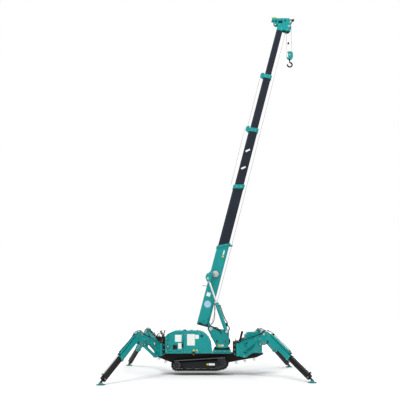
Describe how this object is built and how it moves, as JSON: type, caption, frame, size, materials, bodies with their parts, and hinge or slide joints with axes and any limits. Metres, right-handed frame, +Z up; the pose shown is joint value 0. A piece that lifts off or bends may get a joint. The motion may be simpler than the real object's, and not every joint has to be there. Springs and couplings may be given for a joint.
{
  "type": "spider crane",
  "caption": "Compact tracked spider crane standing on folding outrigger legs, with a slewing column and a raised telescopic boom carrying a hook block.",
  "frame": {"origin": "on the ground under the middle of the machine's outline in plan", "axes": "+X towards the front box and the boom's load side, +Y the machine's left, +Z up"},
  "size_m": [4.82, 4.726, 9.666],
  "materials": {
    "green_paint": "gloss green-blue paint",
    "boom_paint": "satin dark blue-grey paint",
    "dark_paint": "satin dark grey paint",
    "black_paint": "satin black paint",
    "rubber": "matt black rubber",
    "wheel_steel": "dark worn steel",
    "engine_iron": "plain grey",
    "black_plastic": "matt black",
    "black_pad": "black padding",
    "zinc_steel": "bright zinc",
    "chrome_rod": "hard chrome",
    "wire_rope": "galvanised wire rope"
  },
  "bodies": {
    "chassis": {"track_belts": "rubber", "track_frames": "dark_paint", "track_wheels": "wheel_steel", "main_frame": "black_paint", "deck": "green_paint", "engine_cover": "green_paint", "engine_block": "engine_iron", "control_panel": "dark_paint", "control_levers": "black_plastic", "front_box": "green_paint", "boom_rest": "black_pad", "lashing_rings": "zinc_steel", "slew_ring": "dark_paint"},
    "door": {"service_door": "green_paint"},
    "turret": {"column": "green_paint"},
    "winch": {"winch_drum": "dark_paint"},
    "boom": {"boom_base": "green_paint", "cord_reel": "zinc_steel"},
    "boom_2": {"boom_section_2": "boom_paint", "boom_collar_2": "green_paint"},
    "boom_3": {"boom_section_3": "boom_paint", "boom_collar_3": "green_paint"},
    "boom_4": {"boom_section_4": "boom_paint", "boom_collar_4": "green_paint"},
    "boom_5": {"boom_section_5": "boom_paint", "boom_head": "green_paint", "head_sheaves": "wheel_steel"},
    "lift_barrel": {"lift_cylinders": "green_paint"},
    "lift_rod": {"lift_rods": "chrome_rod"},
    "load_line": {"hoist_falls": "wire_rope"},
    "load_block": {"hook_block": "green_paint"},
    "load_hook": {"hook": "black_paint"},
    "front_left_arm": {"front_left_arm": "green_paint"},
    "front_left_outer": {"front_left_outer": "green_paint"},
    "front_left_inner": {"front_left_inner": "black_paint", "front_left_rod": "chrome_rod", "front_left_pad": "green_paint"},
    "front_right_arm": {"front_right_arm": "green_paint"},
    "front_right_outer": {"front_right_outer": "green_paint"},
    "front_right_inner": {"front_right_inner": "black_paint", "front_right_rod": "chrome_rod", "front_right_pad": "green_paint"},
    "rear_left_arm": {"rear_left_arm": "green_paint"},
    "rear_left_outer": {"rear_left_outer": "green_paint"},
    "rear_left_inner": {"rear_left_inner": "black_paint", "rear_left_rod": "chrome_rod", "rear_left_pad": "green_paint"},
    "rear_right_arm": {"rear_right_arm": "green_paint"},
    "rear_right_outer": {"rear_right_outer": "green_paint"},
    "rear_right_inner": {"rear_right_inner": "black_paint", "rear_right_rod": "chrome_rod", "rear_right_pad": "green_paint"}
  },
  "joints": [
    {"name": "slew", "type": "hinge", "parent": "chassis", "child": "turret", "pos_m": [0.318, 0, 0.64], "axis": [0, 0, 1], "continuous": true},
    {"name": "boom_lift", "type": "hinge", "parent": "turret", "child": "boom", "pos_m": [0.034, 0, 1.11], "axis": [0, -1, 0], "range_deg": [-75, 5]},
    {"name": "lift_cylinder_turn", "type": "hinge", "parent": "turret", "child": "lift_barrel", "pos_m": [0.431, 0, 1.043], "axis": [0, -1, 0], "range_deg": [-80.19, 5.81]},
    {"name": "lift_rod_slide", "type": "slide", "parent": "lift_barrel", "child": "lift_rod", "axis": [-0.3281, 0, 0.9447], "range_m": [-0.4834, 0.0341]},
    {"name": "extend_2", "type": "slide", "parent": "boom", "child": "boom_2", "axis": [0.2588, 0, 0.9659], "range_m": [-1.47, 0]},
    {"name": "extend_3", "type": "slide", "parent": "boom_2", "child": "boom_3", "axis": [0.2588, 0, 0.9659], "range_m": [-1.33, 0]},
    {"name": "extend_4", "type": "slide", "parent": "boom_3", "child": "boom_4", "axis": [0.2588, 0, 0.9659], "range_m": [-1.33, 0]},
    {"name": "extend_5", "type": "slide", "parent": "boom_4", "child": "boom_5", "axis": [0.2588, 0, 0.9659], "range_m": [-1.33, 0]},
    {"name": "load_line_swing", "type": "hinge", "parent": "boom_5", "child": "load_line", "pos_m": [2.25, 0, 9.35], "axis": [0, -1, 0], "range_deg": [-5.2, 75.2]},
    {"name": "hoist", "type": "slide", "parent": "load_line", "child": "load_block", "axis": [0, 0, -1], "range_m": [-0.2, 1.2], "deforming": ["hoist_falls"]},
    {"name": "hook_swivel", "type": "hinge", "parent": "load_block", "child": "load_hook", "pos_m": [2.25, 0, 8.35], "axis": [0, 0, 1], "continuous": true},
    {"name": "winch_turn", "type": "hinge", "parent": "turret", "child": "winch", "pos_m": [0.402, 0, 0.8], "axis": [0, 1, 0], "range_deg": [-1719.87, 287.48]},
    {"name": "service_door", "type": "hinge", "parent": "chassis", "child": "door", "pos_m": [-1.019, -0.37, 0.7], "axis": [0, 0, -1], "range_deg": [0, 100]},
    {"name": "front_left_swing", "type": "hinge", "parent": "chassis", "child": "front_left_arm", "pos_m": [0.714, 0.3, 0.61], "axis": [0, 0, 1], "range_deg": [-41.13, 20]},
    {"name": "front_left_knee", "type": "hinge", "parent": "front_left_arm", "child": "front_left_outer", "pos_m": [1.34189, 0.93076, 1.01], "axis": [0.7087, -0.7055, 0], "range_deg": [-14, 30]},
    {"name": "front_left_extend", "type": "slide", "parent": "front_left_outer", "child": "front_left_inner", "axis": [0.5661, 0.5687, -0.5968], "range_m": [-0.55, 0.08]},
    {"name": "front_right_swing", "type": "hinge", "parent": "chassis", "child": "front_right_arm", "pos_m": [0.714, -0.3, 0.61], "axis": [0, 0, -1], "range_deg": [-41.13, 20]},
    {"name": "front_right_knee", "type": "hinge", "parent": "front_right_arm", "child": "front_right_outer", "pos_m": [1.34189, -0.93076, 1.01], "axis": [-0.7087, -0.7055, 0], "range_deg": [-14, 30]},
    {"name": "front_right_extend", "type": "slide", "parent": "front_right_outer", "child": "front_right_inner", "axis": [0.5661, -0.5687, -0.5968], "range_m": [-0.55, 0.08]},
    {"name": "rear_left_swing", "type": "hinge", "parent": "chassis", "child": "rear_left_arm", "pos_m": [-1.216, 0.3, 0.61], "axis": [0, 0, -1], "range_deg": [-56.82, 15]},
    {"name": "rear_left_knee", "type": "hinge", "parent": "rear_left_arm", "child": "rear_left_outer", "pos_m": [-1.64993, 1.07705, 1.01], "axis": [0.8731, 0.4876, 0], "range_deg": [-14, 30]},
    {"name": "rear_left_extend", "type": "slide", "parent": "rear_left_outer", "child": "rear_left_inner", "axis": [-0.4001, 0.7165, -0.5715], "range_m": [-0.55, 0.08]},
    {"name": "rear_right_swing", "type": "hinge", "parent": "chassis", "child": "rear_right_arm", "pos_m": [-1.216, -0.3, 0.61], "axis": [0, 0, 1], "range_deg": [-56.82, 15]},
    {"name": "rear_right_knee", "type": "hinge", "parent": "rear_right_arm", "child": "rear_right_outer", "pos_m": [-1.64993, -1.07705, 1.01], "axis": [-0.8731, 0.4876, 0], "range_deg": [-14, 30]},
    {"name": "rear_right_extend", "type": "slide", "parent": "rear_right_outer", "child": "rear_right_inner", "axis": [-0.4001, -0.7165, -0.5715], "range_m": [-0.55, 0.08]}
  ],
  "couplings": [
    {"joint": "lift_cylinder_turn", "follows": "boom_lift", "ratio": 1.0626},
    {"joint": "lift_rod_slide", "follows": "boom_lift", "m_per_rad": 0.36776},
    {"joint": "extend_4", "follows": "extend_3", "ratio": 1},
    {"joint": "extend_5", "follows": "extend_3", "ratio": 1},
    {"joint": "load_line_swing", "follows": "boom_lift", "ratio": -1},
    {"joint": "winch_turn", "follows": "hoist", "rad_per_m": -25}
  ]
}
